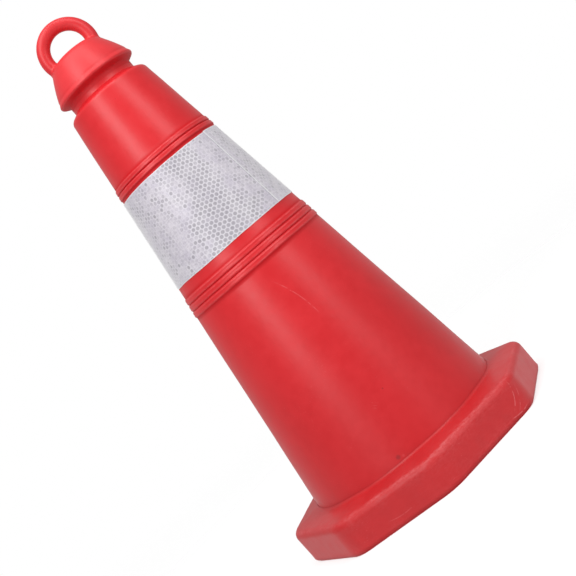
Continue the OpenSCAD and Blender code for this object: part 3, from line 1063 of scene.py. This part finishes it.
# name, azimuth from the camera, distance, height, (width, height), watts
LAMPS = (
    ("left_box", -32, 1.3, 1.32, (0.50, 1.9), 16.5),
    ("right_box", 41, 1.3, 1.32, (0.50, 1.9), 11.9),
    ("top_box", 0, 0.25, 2.0, (1.4, 0.35), 6.0),
)


def build_camera():
    """The photo's viewpoint: low and level, rolled so that the upright cone leans to the left."""
    distance, side, height = 1.463, 0.0107, 0.329
    pitch, roll, orbit = (math.radians(a) for a in (2.147, 40.94, -1.9))
    data = bpy.data.cameras.new("camera")
    data.sensor_width = 36
    data.lens = 75.5
    camera = add_object("camera", data)
    turn = Matrix.Rotation(math.pi / 2 - pitch, 4, "X") @ Matrix.Rotation(-roll, 4, "Z")
    place = Matrix.Translation((side, -distance, height))
    camera.matrix_world = Matrix.Rotation(orbit, 4, "Z") @ place @ turn
    bpy.context.scene.camera = camera


# ---------------------------------------------------------------- the cone

def mark(centre, radius, half_width, strength, near=None, extent=0):
    """A scuff or speck as moulded_plastic takes it, from sizes in mm."""
    reach = (Vector(near) * MM, extent * MM) if near else None
    return Vector(centre) * MM, radius * MM, half_width * MM, reach, strength


def on_cone(azimuth, height):
    """Point on the cone's side in mm, at an azimuth in degrees and a height in mm."""
    a = math.radians(azimuth)
    r = cone_r(height * MM) / MM
    return Vector((r * math.cos(a), r * math.sin(a), height))


CREASE = on_cone(-84, 263.5)
TICKS = on_cone(-91.5, 119)
TICKS_MID = TICKS + Vector((65, 0, 75))

CONE_MARKS = [
    mark(on_cone(-84, 125), 0, 1.3, -0.45),
    mark(on_cone(-100.5, 57), 0, 3.8, -0.45),
    mark(on_cone(-98, 55), 0, 2.2, 0.25),
    mark(CREASE + Vector((-144, -21, -35)), 150, 0.9, 0.45, CREASE, 36),
]
for tick_r, tick_at in ((100, TICKS), (103, TICKS), (106, on_cone(-92.5, 117))):
    CONE_MARKS.append(mark(TICKS_MID, tick_r, 0.6, 0.5, tick_at, 5))

BASE_MARKS = [
    mark((85, -144, 45), 40, 0.8, 0.8, (115, -136, 26), 19),
    mark((85, -144, 47), 48, 0.7, 0.5, (119, -134, 20), 18),
    mark((115, -140, 65), 60, 0.8, 0.8, (111, -137, 6), 15),
    mark((-60, -160, 90), 78, 0.7, 0.35, (-62, -158, 12), 20),
]

build_camera()
build_world()
build_floor()
for lamp in LAMPS:
    softbox(*lamp)

shell_red = moulded_plastic("shell_red", rgb(222, 35, 42), rgb(214, 29, 36), rgb(240, 130, 132),
                            0.38, scratch=0.30, marks=CONE_MARKS, foot_shade=0.30)
cap_red = moulded_plastic("cap_red", rgb(224, 44, 50), rgb(216, 38, 44), rgb(244, 140, 142),
                          0.43, scratch=0.15, grain=0.15)
base_red = moulded_plastic("base_red", rgb(200, 35, 39), rgb(192, 32, 36), rgb(236, 140, 142),
                           0.40, scratch=0.4, dust=0.04, marks=BASE_MARKS, shine=0.4)
dark_plastic = moulded_plastic("dark_plastic", rgb(52, 52, 54), rgb(40, 40, 42),
                               rgb(110, 110, 112), 0.5, scratch=0.6)
plug_plastic = moulded_plastic("plug_plastic", rgb(48, 48, 50), rgb(36, 36, 38),
                               rgb(110, 110, 112), 0.42, scratch=0.6)

cone = revolve("cone_shell", cone_outline(), 240, closed=True, wobble=moulding_wobble, smooth_angle=60,
               marked={"hollow": cone_hollow, "wear_and_highlight": cone_wear_and_highlight})
place_piece(cone, shell_red, "cone", "red_shell", "cone_body")

cap = revolve("cap_dome", cap_outline(), 192, closed=False, wobble=cap_wobble, smooth_angle=50,
              marked={"hollow": cap_hollow})
place_piece(cap, cap_red, "cone", "red_cap", "ring_cap")

ring = torus("ring_loop", RING_MID_R, RING_TUBE_R, RING_Z, 192, 64)
place_piece(ring, cap_red, "cone", "red_cap", "lifting_ring")

for foot_name, foot_side in (("ring_foot_left", -1), ("ring_foot_right", 1)):
    place_piece(ring_foot(foot_name, foot_side), cap_red, "cone", "red_cap")

film = film_sleeve()
place_piece(film, film_material(), "cone", "reflective_film", "reflective_sleeve")

base = base_shell()
bore_outline = [(0, 20 * MM), (FILLER_R, 20 * MM), (FILLER_R, 80 * MM), (0, 80 * MM)]
bore = revolve("bore_cutter", bore_outline, 72, closed=False)
cut(base, shifted(bore, PLUG_X, PLUG_Y))
place_piece(base, base_red, "cone", "red_base", "base_shell")
place_piece(filler_boss(), base_red, "cone", "red_base")
seal_rubber = rubber_material("seal_rubber", rgb(24, 24, 25), 0.6)
place_piece(plug_seal(), seal_rubber, "seal", "seal_rubber", "plug_seal")
place_piece(filler_plug(), plug_plastic, "plug", "plug_plastic", "filler_plug")

dress(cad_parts["base_plate"], dark_plastic)
dress(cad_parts["ballast"], rough_fill_material())
dress(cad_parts["base_screws"], steel_material())
